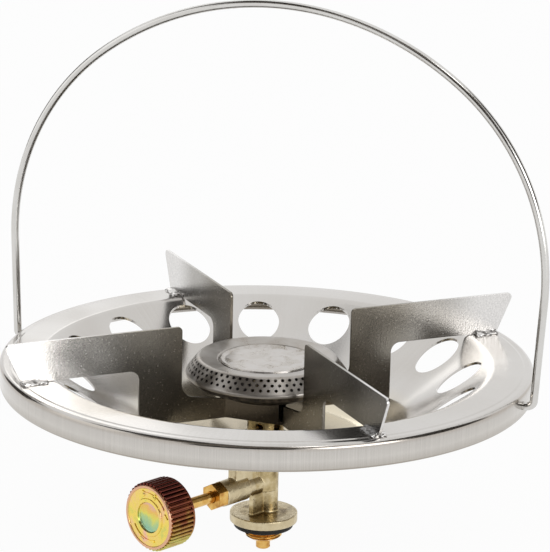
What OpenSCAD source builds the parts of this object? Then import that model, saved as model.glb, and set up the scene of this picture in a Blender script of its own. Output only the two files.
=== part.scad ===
// Single burner camping stove that screws onto a gas cylinder.
// Millimetres, +Z up. The origin lies on the burner axis, in the plane where the
// gasket meets the cylinder. The carry handle turns about a line along X.

/* [Dish] */
// Diameter over the outside of the skirt
dish_d = 220; // [190:1:260]
// Height of the dish floor above the gasket's seat
floor_z = 40; // [38:0.5:50]
// Depth of the floor below the rim
dish_depth = 34; // [30:0.5:40]
// Diameter of the flat floor
floor_d = 85.7; // [80:0.1:92]
// Slope of the bowl's wall from level, in degrees
wall_slope = 34.5; // [30:0.5:42]
// Thickness of the dish's sheet
dish_t = 0.9; // [0.6:0.1:1.4]
// Height of the skirt
skirt_h = 11.2; // [9.5:0.1:18]
// Width of the hem turned in under the skirt
hem_w = 3; // [2.5:0.1:5]
// Radius of the soft shoulder between the wall and the rim
shoulder_r = 10; // [5:0.5:14]
// Radius of the rolled outer edge of the rim
rim_r = 1.6; // [1.2:0.1:4]
// Number of air holes in the wall
hole_count = 16; // [8:4:20]
// Diameter of an air hole
hole_d = 18; // [10:0.5:20]
// Diameter of the circle that the air holes lie on
hole_circle_d = 160; // [152:0.5:164]
// Turn of the air holes past the X axis, in degrees
hole_turn = 1.5; // [0:0.5:6]

/* [Pan support] */
// Thickness of the pan support's sheet
blade_t = 1.2; // [0.8:0.1:2]
// Height of the pan rest above the rim
blade_rise = 17; // [12:0.5:25]
// Reach of a blade's top corner past the dish
blade_reach = 4.5; // [2:0.5:10]
// Distance from the dish's edge in to the blade's heel on the rim
heel_inset = 3.2; // [2:0.1:4.5]
// Height of the blade's arm over the rim
arm_lift = 0.3; // [0.2:0.1:2]
// Radius of a blade's corners
blade_corner_r = 4; // [2:0.5:6]
// Gap between the blades and the burner head
head_gap = 4.2; // [2:0.1:8]
// Height of the hub above the dish floor
hub_lift = 10; // [8.5:0.5:14]
// Side of the square hub, between the middles of its walls
hub_w = 25.4; // [24:0.2:30]
// Height of the hub's walls
hub_h = 8.5; // [7:0.1:9.5]
// Gap left at the free end of each hub wall
hub_gap = 2; // [1:0.1:4]
// Radius of the fold between a hub wall and its blade
fold_r = 2.5; // [1.5:0.1:4]
// Length of the tab that locks a blade into the rim
tab_w = 6; // [4:0.5:7]
// Depth of that tab below the rim's sheet
tab_drop = 2.5; // [1.5:0.1:4]
// Distance from the heel in to the tab
tab_inset = 2.4; // [2:0.1:4]

/* [Burner head] */
// Diameter of the burner head at its crimped rim
head_d = 67.6; // [60:0.2:74]
// Height of the burner head's shoulder above the hub
head_h = 24.4; // [23:0.1:28]
// Diameter of the burner head's shoulder
head_top_d = 57.8; // [52:0.2:60]
// Height of the perforated wall
flame_wall_h = 6.5; // [6:0.1:8]
// Diameter of the sunken disc in the top
disc_d = 39; // [30:0.5:44]
// Dip of the top from its shoulder to the disc
top_dip = 1.4; // [0.8:0.1:2]
// Thickness of the burner head's sheet
head_t = 0.7; // [0.5:0.1:1]
// Number of flame ports in a row
port_count = 64; // [36:4:84]
// Number of rows of flame ports
port_rows = 3; // [1:1:3]
// Diameter of a flame port
port_d = 1.2; // [0.8:0.1:1.4]
// Distance between the rows of flame ports
port_step = 1.75; // [1.5:0.05:1.8]
// Diameter of the mixing tube below the hub
tube_d = 15.2; // [15:0.1:17]
// Diameter of the mixing tube's throat
throat_d = 10; // [8:0.5:11]
// Number of air holes in the mixing tube
air_count = 6; // [4:1:6]
// Diameter of an air hole in the mixing tube
air_d = 3.4; // [2:0.1:3.6]

/* [Valve] */
// Diameter of the male thread that screws into the cylinder
thread_d = 16; // [12:0.5:18]
// Length of that thread past the gasket
thread_len = 4; // [3:0.5:10]
// Diameter of the valve's foot flange
flange_d = 28.4; // [26:0.2:34]
// Thickness of the foot flange
flange_h = 3.8; // [2.5:0.1:6]
// Outside diameter of the gasket
gasket_d = 25; // [22:0.5:26]
// Thickness of the gasket
gasket_h = 2.6; // [1.5:0.1:4]
// Diameter of the inlet pin
pin_d = 6; // [5:0.1:8]
// Length of the inlet pin below the thread's cone
pin_len = 4.7; // [3:0.1:8]
// Diameter of the valve's lower column
foot_column_d = 8.2; // [7:0.1:9]
// Distance of the lower column behind the burner axis
foot_column_back = 2.6; // [2:0.1:3]
// Diameter of the valve's upper column
column_d = 11.8; // [11:0.1:14]
// Diameter of the threaded neck that holds the dish
neck_d = 12; // [11:0.1:13]
// Direction of the valve's arm seen from above, in degrees
arm_turn = -113.5; // [-135:0.5:-45]
// Height of the arm's axis above the gasket's seat
arm_z = 20; // [18:0.5:24]
// Diameter of the arm
arm_d = 8.6; // [8:0.1:10]
// Diameter of the collar on the arm
collar_d = 10.6; // [10:0.1:13]
// Distance from the burner axis to the collar
collar_at = 12.4; // [11:0.1:14]
// Length of the collar
collar_len = 13.4; // [12.5:0.1:18]
// Thickness of the web above the arm
web_t = 5; // [4:0.1:7]
// Reach of that web along the arm
web_reach = 19; // [15:0.5:24]
// Thickness of the rib under the arm
rib_t = 2.2; // [1.5:0.1:4]

/* [Spindle and knob] */
// Diameter of the spindle's stem
stem_d = 4.8; // [4:0.1:5]
// Diameter of the spindle's thread
spindle_thread_d = 6; // [5.6:0.1:6.2]
// Width across flats of the gland nut
gland_w = 10; // [9:0.1:13]
// Length of the gland nut outside the collar
gland_h = 5; // [4:0.1:8]
// Length of bare stem between the gland nut and the knob
stem_len = 22; // [14:0.5:30]
// Diameter of the knob over its body
knob_d = 27.4; // [22:0.2:34]
// Length of the knob
knob_len = 13.4; // [10:0.1:18]
// Number of grip ribs round the knob
rib_count = 44; // [24:2:50]
// Radius of a grip rib
grip_r = 0.8; // [0.5:0.1:0.9]
// Diameter of the round recess in the knob's face
recess_d = 12.6; // [10:0.1:14]
// Depth of that recess
recess_h = 1.2; // [0.6:0.1:2]

/* [Carry handle] */
// Diameter of the handle's wire
wire_d = 3.4; // [2.6:0.1:4]
// Height of the handle's top above the rim, to the middle of the wire
handle_h = 146.4; // [130:0.1:180]
// Radius of the handle's flat crown, to the middle of the wire
crown_r = 128.6; // [122:0.1:136]
// Angle from the handle's top to each end of its crown, in degrees
crown_half = 36.5; // [30:0.5:42]
// Lean of the handle's legs outwards, in degrees
leg_lean = 2.5; // [1:0.1:8]
// Lean of the standing handle to the back, in degrees
handle_lean = 2; // [0:0.5:8]
// Distance of the handle's pivot below the rim
pivot_drop = 5.6; // [5.2:0.1:6.4]
// Distance from the skirt out to the middle of the wire's foot
foot_gap = 4.4; // [3:0.1:8]
// Radius of the bend at the foot of the handle, to the middle of the wire
foot_bend_r = 3; // [2.4:0.1:3.2]
// Length of the wire's end inside the skirt
wire_end = 6; // [4:0.5:8]

/* [Clearances] */
// Radial clearance of a turning or sliding fit
run_gap = 0.08; // [0.03:0.01:0.1]
// Radial clearance of a screwed fit
thread_gap = 0.05; // [0.02:0.01:0.1]
// Clearance round a tab in its slot and under the burner head
slot_gap = 0.3; // [0.2:0.05:0.5]

/* [Hidden] */
$fn = 96;
// Largest turn of one straight step on a rounded corner, in degrees
arc_step = 7.5;
// Overshoot of a cutting shape past the face that it cuts
past = 1;

// Dish
dish_r = dish_d / 2;
rim_z = floor_z + dish_depth;
shoulder_at = floor_d / 2 + dish_depth / tan(wall_slope);
floor_bend_r = 3;
hem_bend_r = 1.2;

// Pan support
blade_count = 4;
rest_z = rim_z + blade_rise;
blade_tip_at = dish_r + blade_reach;
heel_at = dish_r - heel_inset;
arm_under_z = rim_z + arm_lift;
hub_z = floor_z + hub_lift;
// Height of the wall's upper face over the floor's, carried on to the floor's edge
wall_face = dish_t / 2 * (1 / cos(wall_slope) - 1);
leg_at = floor_d / 2 + (hub_lift - wall_face) / tan(wall_slope) - slot_gap / sin(wall_slope);
hub_corner = hub_w / sqrt(2);
head_r = head_d / 2;
blade_front_at = head_r + head_gap;
tab_out = heel_at - tab_inset;
tab_in = tab_out - tab_w;
tab_end_z = rim_z - dish_t - tab_drop;
tab_corner_r = 0.8;
heel_corner_r = 1;
// Where the blade's lower edge leaves the hub, its rise from there and its curve
throat_at = hub_corner + 2;
throat_rise = 2.8;
throat_r = 6;

// Burner head
head_z = hub_z + head_h;
crimp_z = head_z - flame_wall_h;
head_top_r = head_top_d / 2;
disc_r = disc_d / 2;
disc_z = head_z - top_dip;
// Depth of the crimped lip below the perforated wall
curl = 1.1;
// Ledge that the disc lies on, and the bead round it
ledge_w = 2;
ledge_drop = 1.2;
bead_in = disc_r + 0.4;
bead_out = disc_r + 1.2;
bead_r = 0.6;
disc_edge_at = disc_r - 0.4;
disc_edge_rise = 0.2;
disc_bend_r = 1.2;
head_shoulder_r = 1.6;
head_crimp_r = 1.2;
// Cup below the flame ring
cup_floor_z = hub_z + hub_h + slot_gap;
// Share of the cup's height at which its sloping floor turns up into its rim
cup_knee = 0.6;
cup_rise = cup_knee * (crimp_z - cup_floor_z);
cup_rim_at = head_r - 2 * head_t - slot_gap / 2;
cup_flare = 1.2;
cup_collar_h = 1.6;
cup_collar_r = 0.8;
cup_floor_r = 3;
cup_wall_r = 1.5;
tube_r = tube_d / 2;
// Step in the tube that the hub lies on
tube_step = 1;
upper_r = tube_r - tube_step;
// Height of the ports' middle row above the middle of the wall
port_lift = 0.4;

// Stack that clamps the dish to the valve's neck
neck_r = neck_d / 2;
washer_h = 0.8;
washer_d = 19;
clamp_z = floor_z + washer_h;
neck_grip = 2.8;
neck_inset = 0.4;
neck_top_z = clamp_z + neck_grip - neck_inset;
throat_z = clamp_z + neck_grip;
tube_rise = 3;
tube_top_z = cup_floor_z + head_t + tube_rise;
air_z = throat_z + air_d / 2 + slot_gap;
// Start of the air holes' drills inside the throat
air_from = throat_d / 2 - 0.8;

// Jet in the neck, with the filter disc below it
jet_shank_r = 2;
jet_shank = 4;
jet_w = 6;
jet_h = 1.8;
jet_bore_r = 0.8;
jet_tip_r = 0.2;
jet_tip_h = 0.6;
gauze_h = 0.8;
jet_seat_z = neck_top_z - jet_shank - gauze_h;

// Valve
thread_r = thread_d / 2;
relief_r = thread_r - 0.8;
cone_h = 1;
cone_r = thread_r - 2;
flange_z = gasket_h;
column_z = flange_z + flange_h;
column_r = column_d / 2;
shoulder_z = floor_z - dish_t;
seat_flange_r = neck_r + 3.5;
seat_flange_h = 2.6;
inlet_r = 1.3;
outlet_r = 1.1;
// Wider bore below the jet that the slanting outlet runs into
jet_well_r = outlet_r + 0.4;
outlet_drop = 4;
outlet_past = 2;
web_drop = 1;
web_rise = 4;
web_top_reach = 13;
rib_reach = column_r + 2;
pin_z = -thread_len - cone_h;
pin_shank_r = 2;
pin_edge = 0.4;
pin_slot_w = 1;
pin_slot_h = 1.2;
gasket_edge_r = 0.5;
collar_end = collar_at + collar_len;

// Spindle, measured along the arm from the burner axis
open_turns = 1.5;
pitch = 1;
stem_r = stem_d / 2;
spindle_r = spindle_thread_d / 2;
chamber_r = spindle_r + 0.6;
chamber_at = 8.6;
orifice_r = 0.9;
gland_shank = 5;
gland_shank_r = chamber_r + 0.4;
gland_stop = 2;
gland_washer_h = 0.8;
o_ring_r = 0.85;
groove_half = o_ring_r + run_gap;
// Width of the spindle's lands on the outer and the inner side of the seal's groove
seal_land = 0.4;
needle_land = 1.2;
o_ring_at = collar_end - gland_shank - open_turns * pitch - seal_land - groove_half - slot_gap;
o_ring_mid = chamber_r - run_gap - o_ring_r;
groove_r = o_ring_mid - o_ring_r - run_gap;
spindle_thread_at = collar_end - gland_shank + gland_washer_h + slot_gap;
spindle_thread_end = collar_end + gland_h - gland_stop - open_turns * pitch - slot_gap;
needle_at = o_ring_at - groove_half - needle_land;
// The needle fills the orifice where the orifice meets the chamber
needle_tip_r = orifice_r / 3;
needle_lap = 0.2;
needle_share = (orifice_r - run_gap - needle_tip_r) / (stem_r - needle_tip_r);
needle_tip = (chamber_at - needle_share * (needle_at + needle_lap)) / (1 - needle_share);
knob_at = collar_end + gland_h + stem_len;
knob_face = knob_at + knob_len;
// Metal between the stem's end and the recess
stem_cover = 2;
stem_end = knob_face - recess_h - stem_cover;
knob_r = knob_d / 2;
knob_wall = 2.2;
knob_web = 4;
knob_hub_r = stem_r + 2.6;
face_rim_w = 1.6;
face_groove_h = 0.5;

// Carry handle
wire_r = wire_d / 2;
pivot_z = rim_z - pivot_drop;
foot_at = dish_r + foot_gap;
// Heights over the pivot from here on
handle_top = handle_h + pivot_drop;
crown_mid = handle_top - crown_r;
// Radius and middle of the bends that join the crown and the leaning legs without a kink
bend_share = sin(crown_half - leg_lean);
bend_sum = foot_at * cos(leg_lean) + crown_mid * sin(leg_lean);
bend_r = (bend_sum - crown_r * bend_share) / (1 - bend_share);
bend_mid = [0, crown_mid] + (crown_r - bend_r) * [sin(crown_half), cos(crown_half)];
// Step in radius where one run of wire enters the next, and how far it runs in
wire_step = 0.02;
wire_lap = 0.2;

function unit(v) = v / norm(v);
function left(v) = [-v[1], v[0]];
function turn_of(a, b) = atan2(a[0] * b[1] - a[1] * b[0], a * b);
function turned(v, a) = [v[0] * cos(a) - v[1] * sin(a), v[0] * sin(a) + v[1] * cos(a)];

// Points of the arc of radius r that rounds a corner, moved to the left by shift
function round_corner(before, corner, after, r, shift = 0) =
  let (
    d_in = unit(corner - before),
    a = turn_of(d_in, unit(after - corner)),
    side = sign(a),
    centre = corner - d_in * r * tan(abs(a) / 2) + left(d_in) * r * side,
    steps = max(1, ceil(abs(a) / arc_step))
  )
  [for (k = [0 : steps]) centre - turned(left(d_in) * side, a * k / steps) * (r - side * shift)];

// One side of a bent sheet whose middle follows path, with a bend radius at each corner
function sheet_side(path, bends, shift) =
  let (
    last = len(path) - 1,
    d_first = unit(path[1] - path[0]),
    d_last = unit(path[last] - path[last - 1])
  )
  [
    path[0] + left(d_first) * shift,
    for (i = [1 : last - 1])
      each round_corner(path[i - 1], path[i], path[i + 1], bends[i - 1], shift),
    path[last] + left(d_last) * shift
  ];

function reversed(list) = [for (i = [len(list) - 1 : -1 : 0]) list[i]];

// Closed outline of a bent sheet
function sheet_outline(path, bends, thick) =
  concat(sheet_side(path, bends, thick / 2), reversed(sheet_side(path, bends, -thick / 2)));

// Closed outline with each corner rounded to its own radius, where 0 leaves it sharp
function rounded_outline(corners, radii) =
  let (n = len(corners))
  [
    for (i = [0 : n - 1])
      each radii[i] == 0
        ? [corners[i]]
        : round_corner(corners[(i + n - 1) % n], corners[i], corners[(i + 1) % n], radii[i])
  ];

// A sheet pressed to a round form
module pressed(path, bends, thick) {
  rotate_extrude()
    polygon(sheet_outline(path, bends, thick));
}

// Puts a shape drawn along +Z onto the valve's arm, with z = 0 at the burner axis
module on_arm() {
  translate([0, 0, arm_z])
    rotate([0, 90, arm_turn])
      children();
}

// A straight round bar or bore between two stations along the arm
module arm_bar(r, from, to) {
  translate([0, 0, from])
    cylinder(r = r, h = to - from);
}

module dish() {
  mid = dish_t / 2;
  color("silver")
    difference() {
      pressed(
        [
          [neck_r + slot_gap, floor_z - mid],
          [floor_d / 2, floor_z - mid],
          [shoulder_at, rim_z - mid],
          [dish_r - mid, rim_z - mid],
          [dish_r - mid, rim_z - skirt_h + mid],
          [dish_r - hem_w, rim_z - skirt_h + mid]
        ],
        [floor_bend_r, shoulder_r, rim_r, hem_bend_r],
        dish_t
      );
      for (i = [0 : hole_count - 1])
        rotate(hole_turn + i * 360 / hole_count)
          translate([hole_circle_d / 2, 0, floor_z])
            cylinder(d = hole_d, h = dish_depth);
      for (i = [0 : blade_count - 1])
        rotate(45 + i * 360 / blade_count)
          translate([tab_in - slot_gap, -blade_t / 2 - slot_gap, rim_z - dish_t - past])
            cube([tab_w + 2 * slot_gap, blade_t + 2 * slot_gap, dish_t + 2 * past]);
      for (side = [0, 180])
        rotate(side)
          translate([dish_r - hem_w, 0, pivot_z])
            rotate([0, 90, 0])
              cylinder(r = wire_r + run_gap, h = hem_w + past);
    }
}

// Side view of a blade and its hub wall, as distance from the axis against height
function blade_outline() =
  rounded_outline(
    [
      [-fold_r, hub_z],
      [leg_at, hub_z],
      [leg_at, arm_under_z],
      [tab_in, arm_under_z],
      [tab_in, tab_end_z],
      [tab_out, tab_end_z],
      [tab_out, arm_under_z],
      [heel_at, arm_under_z],
      [blade_tip_at, rest_z],
      [blade_front_at, rest_z],
      [blade_front_at, hub_z + hub_h + throat_rise],
      [throat_at, hub_z + hub_h],
      [-fold_r, hub_z + hub_h]
    ],
    [0, 0, blade_corner_r, 0, tab_corner_r, tab_corner_r, 0, heel_corner_r,
     blade_corner_r / 2, blade_corner_r / 2, throat_r, 0, 0]
  );

// One hub wall with the blade that is folded out of it, at the corner of the hub at 45 degrees
module blade() {
  half = hub_w / 2;
  tip = blade_tip_at + past;
  intersection() {
    translate([0, 0, tab_end_z - dish_depth - past])
      linear_extrude(height = rest_z - tab_end_z + dish_depth + 2 * past)
        polygon(
          sheet_outline(
            [[hub_gap - half, half], [half, half], [tip * cos(45), tip * sin(45)]],
            [fold_r],
            blade_t
          )
        );
    rotate(45)
      rotate([90, 0, 0])
        linear_extrude(height = 2 * hub_w, center = true)
          polygon(blade_outline());
  }
}

module pan_support() {
  color("lightsteelblue")
    union() {
      difference() {
        translate([-hub_w / 2, -hub_w / 2, hub_z])
          cube([hub_w, hub_w, blade_t]);
        translate([0, 0, hub_z - past])
          cylinder(r = upper_r + slot_gap, h = blade_t + 2 * past);
      }
      for (i = [0 : blade_count - 1])
        rotate(i * 360 / blade_count)
          blade();
    }
}

module burner_cup() {
  mid = head_t / 2;
  color("gray")
    pressed(
      [
        [upper_r + mid + thread_gap, cup_floor_z - cup_collar_h],
        [upper_r + mid + thread_gap, cup_floor_z + mid],
        [hub_corner, cup_floor_z + mid],
        [cup_rim_at - cup_flare, cup_floor_z + cup_rise + mid],
        [cup_rim_at, crimp_z - mid]
      ],
      [cup_collar_r, cup_floor_r, cup_wall_r],
      head_t
    );
}

// Height of the middle of a row of flame ports
function port_z(row) = crimp_z + flame_wall_h / 2 + port_lift + (row - (port_rows - 1) / 2) * port_step;

// Radius of the perforated wall at a height
function flame_wall_r(z) = head_top_r + (head_r - head_top_r) * (head_z - z) / flame_wall_h;

module flame_ring() {
  mid = head_t / 2;
  wall_lean = atan2(head_r - head_top_r, flame_wall_h);
  color("rosybrown")
    difference() {
      pressed(
        [
          [disc_r - ledge_w, disc_z - ledge_drop],
          [bead_in, disc_z - ledge_drop],
          [bead_out, disc_z],
          [head_top_r - mid, head_z - mid],
          [head_r - mid, crimp_z - mid],
          [head_r - 2 * mid, crimp_z - curl]
        ],
        [bead_r, bead_r, head_shoulder_r, head_crimp_r],
        head_t
      );
      for (row = [0 : port_rows - 1])
        for (i = [0 : port_count - 1])
          rotate((i + row / 2) * 360 / port_count)
            translate([flame_wall_r(port_z(row)), 0, port_z(row)])
              rotate([0, 90 - wall_lean, 0])
                cylinder(d = port_d, h = 4 * head_t, center = true);
    }
}

module top_disc() {
  color("gainsboro")
    pressed(
      [
        [0, disc_z - ledge_drop + head_t],
        [disc_r - ledge_w, disc_z - ledge_drop + head_t],
        [disc_edge_at, disc_z + disc_edge_rise]
      ],
      [disc_bend_r],
      head_t
    );
}

// Tube that clamps the dish to the neck, carries the hub on its step and feeds the burner head
module mixing_tube() {
  color("goldenrod")
    difference() {
      union() {
        translate([0, 0, clamp_z])
          cylinder(r = tube_r, h = hub_z - clamp_z);
        translate([0, 0, hub_z - past])
          cylinder(r = upper_r, h = tube_top_z - hub_z + past);
      }
      translate([0, 0, clamp_z - past])
        cylinder(r = neck_r + thread_gap, h = throat_z - clamp_z + past);
      translate([0, 0, clamp_z])
        cylinder(d = throat_d, h = tube_top_z - clamp_z + past);
      for (i = [0 : air_count - 1])
        rotate((i + 0.5) * 360 / air_count)
          translate([air_from, 0, air_z])
            rotate([0, 90, 0])
              cylinder(d = air_d, h = tube_r);
    }
}

module lock_washer() {
  color("darkgray")
    translate([0, 0, floor_z])
      difference() {
        cylinder(d = washer_d, h = washer_h);
        translate([0, 0, -past])
          cylinder(r = neck_r + slot_gap, h = washer_h + 2 * past);
      }
}

// Jet with a hexagon head, screwed into the valve's neck
module injector_jet() {
  color("gold")
    translate([0, 0, neck_top_z])
      difference() {
        union() {
          cylinder(d = jet_w / cos(30), h = jet_h, $fn = 6);
          translate([0, 0, -jet_shank])
            cylinder(r = jet_shank_r, h = jet_shank + jet_h / 2);
        }
        translate([0, 0, -jet_shank - past])
          cylinder(r = jet_bore_r, h = jet_shank + jet_h - jet_tip_h + past);
        cylinder(r = jet_tip_r, h = jet_h + past);
      }
}

module jet_gauze() {
  color("khaki")
    translate([0, 0, jet_seat_z])
      cylinder(r = jet_shank_r - thread_gap, h = gauze_h);
}

// Passages inside the valve, from the inlet past the needle to the jet
module valve_passages() {
  outlet_from = [0, 0, jet_seat_z - outlet_drop];
  rise = outlet_from[2] - arm_z;
  outlet_at = chamber_at + outlet_past;
  translate([0, 0, pin_z - past])
    cylinder(r = pin_shank_r, h = flange_z - pin_z + 2 * past);
  rotate(arm_turn)
    translate([-foot_column_back, 0, flange_z])
      cylinder(r = inlet_r, h = arm_z - flange_z + inlet_r);
  on_arm() {
    arm_bar(orifice_r, -foot_column_back, chamber_at + past);
    arm_bar(chamber_r, chamber_at, collar_end - gland_shank + past / 2);
    arm_bar(gland_shank_r + thread_gap, collar_end - gland_shank, collar_end + past);
  }
  translate(outlet_from)
    rotate([0, 180 - atan2(outlet_at, rise), arm_turn])
      cylinder(r = outlet_r, h = norm([outlet_at, rise]));
  translate(outlet_from - [0, 0, 2 * outlet_r])
    cylinder(r = jet_well_r, h = outlet_drop + 2 * outlet_r + past);
  translate([0, 0, jet_seat_z])
    cylinder(r = jet_shank_r + thread_gap, h = jet_shank + gauze_h + past);
}

module valve_body() {
  web_top = shoulder_z - seat_flange_h - web_drop;
  color("tan")
    difference() {
      union() {
        translate([0, 0, flange_z])
          cylinder(d = flange_d, h = flange_h);
        translate([0, 0, -past])
          cylinder(r = relief_r, h = flange_z + 2 * past);
        translate([0, 0, -thread_len])
          cylinder(r = thread_r, h = thread_len);
        translate([0, 0, pin_z])
          cylinder(r1 = cone_r, r2 = thread_r, h = cone_h);
        rotate(arm_turn)
          translate([-foot_column_back, 0, column_z - past])
            cylinder(d = foot_column_d, h = arm_z - column_z + past);
        translate([0, 0, arm_z - arm_d / 2 + past])
          cylinder(r = column_r, h = shoulder_z - arm_z + arm_d / 2 - past);
        translate([0, 0, shoulder_z - seat_flange_h])
          cylinder(r = seat_flange_r, h = seat_flange_h);
        translate([0, 0, shoulder_z - past])
          cylinder(r = neck_r, h = neck_top_z - shoulder_z + past);
        on_arm() {
          arm_bar(arm_d / 2, 0, collar_at + past);
          arm_bar(collar_d / 2, collar_at, collar_end);
        }
        rotate(arm_turn)
          rotate([90, 0, 0])
            linear_extrude(height = web_t, center = true)
              polygon([
                [0, arm_z],
                [web_reach, arm_z],
                [web_reach, arm_z + collar_d / 2 + web_rise],
                [web_top_reach, web_top],
                [0, web_top]
              ]);
        rotate(arm_turn)
          translate([-foot_column_back, -rib_t / 2, column_z - past])
            cube([foot_column_back + rib_reach, rib_t, arm_z - column_z + past]);
      }
      valve_passages();
    }
}

// Pin on the valve's end that opens the cylinder's own valve
module inlet_pin() {
  color("goldenrod")
    difference() {
      union() {
        translate([0, 0, pin_z - pin_len])
          cylinder(d1 = pin_d - 2 * pin_edge, d2 = pin_d, h = pin_edge);
        translate([0, 0, pin_z - pin_len + pin_edge])
          cylinder(d = pin_d, h = pin_len - pin_edge);
        translate([0, 0, pin_z - past])
          cylinder(r = pin_shank_r - thread_gap, h = thread_len + past);
      }
      translate([0, 0, pin_z - pin_len - past])
        cylinder(r = inlet_r, h = pin_len + thread_len + 2 * past);
      translate([-pin_d, -pin_slot_w / 2, pin_z - pin_len - past])
        cube([2 * pin_d, pin_slot_w, pin_slot_h + past]);
    }
}

module cylinder_gasket() {
  color("black")
    rotate_extrude()
      polygon(
        rounded_outline(
          [
            [relief_r + thread_gap, 0],
            [gasket_d / 2, 0],
            [gasket_d / 2, gasket_h],
            [relief_r + thread_gap, gasket_h]
          ],
          [0, gasket_edge_r, gasket_edge_r, 0]
        )
      );
}

module gland_nut() {
  face = collar_end + gland_h;
  color("goldenrod")
    on_arm()
      difference() {
        union() {
          translate([0, 0, collar_end])
            cylinder(d = gland_w / cos(30), h = gland_h, $fn = 6);
          arm_bar(gland_shank_r, collar_end - gland_shank + gland_washer_h, collar_end + past);
        }
        arm_bar(spindle_r + run_gap, collar_end - gland_shank, face - gland_stop);
        arm_bar(stem_r + run_gap, collar_end, face + past);
      }
}

// Washer that backs the seal, clamped under the gland nut
module gland_washer() {
  from = collar_end - gland_shank;
  color("peru")
    on_arm()
      difference() {
        arm_bar(gland_shank_r, from, from + gland_washer_h);
        arm_bar(spindle_r + run_gap, from - past, from + gland_washer_h + past);
      }
}

module spindle() {
  seal_end = o_ring_at + groove_half + seal_land;
  color("darkgoldenrod")
    on_arm()
      difference() {
        union() {
          arm_bar(stem_r, needle_at, stem_end);
          arm_bar(chamber_r - 4 * run_gap, needle_at, seal_end);
          arm_bar(spindle_r, spindle_thread_at, spindle_thread_end);
          translate([0, 0, needle_tip])
            cylinder(r1 = needle_tip_r, r2 = stem_r, h = needle_at - needle_tip + needle_lap);
        }
        difference() {
          arm_bar(chamber_r, o_ring_at - groove_half, o_ring_at + groove_half);
          arm_bar(groove_r, o_ring_at - groove_half - past, o_ring_at + groove_half + past);
        }
      }
}

module spindle_o_ring() {
  color("dimgray")
    on_arm()
      translate([0, 0, o_ring_at])
        rotate_extrude()
          translate([o_ring_mid, 0])
            circle(r = o_ring_r);
}

module knob() {
  back = knob_len - knob_web;
  color("gold")
    on_arm()
      translate([0, 0, knob_at])
        difference() {
          union() {
            cylinder(r = knob_r, h = knob_len);
            for (i = [0 : rib_count - 1])
              rotate(i * 360 / rib_count)
                translate([knob_r - grip_r / 4, 0, grip_r])
                  cylinder(r = grip_r, h = knob_len - 2.5 * grip_r);
          }
          difference() {
            translate([0, 0, -past])
              cylinder(r = knob_r - knob_wall, h = back + past);
            cylinder(r = knob_hub_r, h = back);
          }
          translate([0, 0, -past])
            cylinder(r = stem_r + thread_gap / 2, h = stem_end - knob_at + thread_gap + past);
          translate([0, 0, knob_len - recess_h])
            cylinder(d = recess_d, h = recess_h + past);
          translate([0, 0, knob_len - face_groove_h])
            difference() {
              cylinder(r = knob_r - face_rim_w, h = face_groove_h + past);
              cylinder(d = recess_d + 2 * face_rim_w, h = face_groove_h + past);
            }
        }
}

// A bend of the handle's wire from one angle to another, about a middle over the pivot
module wire_bend(middle, r, from, to, thick = wire_r) {
  translate([middle[0], 0, middle[1]])
    rotate([90, 0, 0])
      rotate_extrude(angle = to - from, start = from)
        translate([r, 0])
          circle(r = thick);
}

// Half of the handle, on the side of +X: its foot in the skirt, its straight leg and its bend
module handle_leg() {
  cut = foot_bend_r * tan((90 - leg_lean) / 2);
  leg_top = bend_mid + bend_r * [cos(leg_lean), -sin(leg_lean)];
  leg_foot = [foot_at, 0] + cut * [sin(leg_lean), cos(leg_lean)];
  bend_at = foot_at - cut;
  inner_end = dish_r - wire_end;
  foot_r = wire_r - wire_step;
  leg_r = foot_r - wire_step;
  lap_turn = wire_lap / bend_r * 180 / PI;
  translate([inner_end, 0, 0])
    rotate([0, 90, 0])
      cylinder(r = foot_r, h = bend_at - inner_end + wire_lap);
  wire_bend([bend_at, foot_bend_r], foot_bend_r, -90, -leg_lean);
  translate([leg_foot[0], 0, leg_foot[1]])
    rotate([0, leg_lean, 0])
      translate([0, 0, -wire_lap])
        cylinder(r = leg_r, h = norm(leg_top - leg_foot) + 2 * wire_lap);
  wire_bend(bend_mid, bend_r, -leg_lean, 90 - crown_half + lap_turn, foot_r);
}

module carry_handle() {
  color("whitesmoke")
    translate([0, 0, pivot_z])
      rotate([-handle_lean, 0, 0])
        union() {
          handle_leg();
          mirror([1, 0, 0])
            handle_leg();
          wire_bend([0, crown_mid], crown_r, 90 - crown_half, 90 + crown_half);
        }
}

dish();
pan_support();
burner_cup();
flame_ring();
top_disc();
mixing_tube();
lock_washer();
injector_jet();
jet_gauze();
valve_body();
inlet_pin();
cylinder_gasket();
gland_nut();
gland_washer();
spindle();
spindle_o_ring();
knob();
carry_handle();
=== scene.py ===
# %% [markdown]
# # Dressing a single burner stove
#
# The stove's solids were drawn in a CAD program. They have the right sizes and they already
# stand in the right place, so this lesson never moves them. It models finer pieces over them,
# gives every surface a finish made of nodes, and sets the stove in a small studio. Lengths are
# written in millimetres, as a maker writes them, and turned into Blender's metres by MM.

# %% Load the stove's solids
import math

import bpy
from mathutils import Matrix, Vector, noise


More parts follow.
